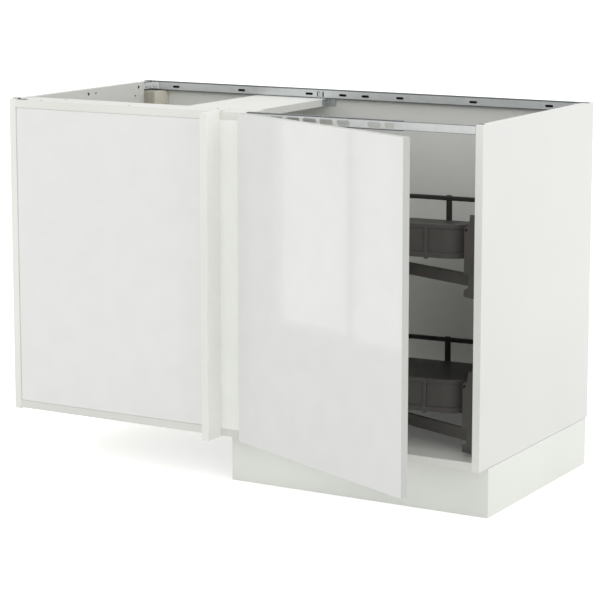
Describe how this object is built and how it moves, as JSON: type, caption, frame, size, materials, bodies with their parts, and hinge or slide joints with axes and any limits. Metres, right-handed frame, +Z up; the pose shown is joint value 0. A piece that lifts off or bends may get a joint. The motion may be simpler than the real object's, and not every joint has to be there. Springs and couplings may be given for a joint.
{
  "type": "corner base cabinet",
  "caption": "White corner base cabinet with a blind half, a hinged door, open steel top rails and a two-level swing-out tray fitting on a plinth.",
  "frame": {"origin": "on the floor, at the middle of the box that the cabinet takes with its door as it stands at rest", "axes": "+X to the right along the front, +Y from the front to the wall, +Z up"},
  "size_m": [1.2574, 0.8846, 0.8775],
  "materials": {
    "white_foil_board": "satin white foil over particle board",
    "white_front": "glossy white foil on fibreboard",
    "white_plinth": "satin white foil",
    "raw_wood": "raw, unfinished",
    "galvanised_steel": "galvanised sheet, zinc-plated screws",
    "grey_plastic": "moulded plastic",
    "clear_bumper": "soft pad",
    "white_plastic": "extruded strip",
    "anthracite_metal": "anthracite powder coat",
    "anthracite_plastic": "anthracite moulding"
  },
  "bodies": {
    "carcass": {"back_joining_strip": "white_plastic", "back_panel_left": "white_foil_board", "back_panel_right": "white_foil_board", "blind_front_panel": "white_front", "bottom_panel": "white_foil_board", "corner_filler_board": "white_front", "corner_post_board": "white_front", "cross_board": "white_foil_board", "cross_board_bracket": "galvanised_steel", "filler_screws": "galvanised_steel", "front_left_hook": "galvanised_steel", "front_rail_end_bracket": "galvanised_steel", "front_rail_plain": "galvanised_steel", "front_rail_vented": "galvanised_steel", "front_top_board": "white_foil_board", "hinge_arms": "galvanised_steel", "hinge_plate_screws": "galvanised_steel", "hinge_plates": "galvanised_steel", "hinge_post": "white_foil_board", "left_side_panel": "white_foil_board", "leg_feet": "grey_plastic", "leg_sockets": "grey_plastic", "leg_stems": "grey_plastic", "lower_arm_pin": "anthracite_metal", "lower_side_bracket": "anthracite_metal", "panel_dowels": "raw_wood", "plinth_clips": "grey_plastic", "plinth_front_board": "white_plinth", "plinth_side_board": "white_plinth", "rail_screws": "galvanised_steel", "rear_corner_batten": "raw_wood", "rear_rail_end_brackets": "galvanised_steel", "rear_rail_joint_clip": "galvanised_steel", "rear_rail_left": "galvanised_steel", "rear_rail_right": "galvanised_steel", "right_side_panel": "white_foil_board", "side_bracket_screws": "galvanised_steel", "top_board_screws": "galvanised_steel", "upper_arm_pin": "anthracite_metal", "upper_side_bracket": "anthracite_metal"},
    "door": {"door_panel": "white_front", "hinge_cups": "galvanised_steel", "hinge_cup_screws": "galvanised_steel", "hinge_links": "galvanised_steel", "door_bumpers": "clear_bumper"},
    "upper_arm": {"upper_swing_arm": "anthracite_metal", "upper_tray_pin": "anthracite_metal"},
    "upper_tray": {"upper_tray_hub": "anthracite_metal", "upper_tray_floor": "anthracite_plastic", "upper_tray_wall": "anthracite_plastic", "upper_tray_railing": "anthracite_metal"},
    "lower_arm": {"lower_swing_arm": "anthracite_metal", "lower_tray_pin": "anthracite_metal"},
    "lower_tray": {"lower_tray_hub": "anthracite_metal", "lower_tray_floor": "anthracite_plastic", "lower_tray_wall": "anthracite_plastic", "lower_tray_railing": "anthracite_metal"}
  },
  "joints": [
    {"name": "door_swing", "type": "hinge", "parent": "carcass", "child": "door", "pos_m": [0.02235, -0.20324, 0.4953], "axis": [0, 0, -1], "range_deg": [-24.8, 85.2]},
    {"name": "upper_arm_swing", "type": "hinge", "parent": "carcass", "child": "upper_arm", "pos_m": [0.58535, -0.11124, 0.52875], "axis": [0, 0, 1], "range_deg": [-13.65, 46.87]},
    {"name": "upper_tray_turn", "type": "hinge", "parent": "upper_arm", "child": "upper_tray", "pos_m": [0.30528, -0.00373, 0.561], "axis": [0, 0, 1], "range_deg": [-38.35, 11.17]},
    {"name": "lower_arm_swing", "type": "hinge", "parent": "carcass", "child": "lower_arm", "pos_m": [0.58535, -0.11124, 0.18075], "axis": [0, 0, 1], "range_deg": [-13.65, 46.87]},
    {"name": "lower_tray_turn", "type": "hinge", "parent": "lower_arm", "child": "lower_tray", "pos_m": [0.30528, -0.00373, 0.213], "axis": [0, 0, 1], "range_deg": [-38.35, 11.17]}
  ],
  "couplings": [
    {"joint": "upper_arm_swing", "follows": "door_swing", "ratio": 0.55},
    {"joint": "upper_tray_turn", "follows": "door_swing", "ratio": -0.45},
    {"joint": "lower_arm_swing", "follows": "door_swing", "ratio": 0.55},
    {"joint": "lower_tray_turn", "follows": "door_swing", "ratio": -0.45}
  ]
}
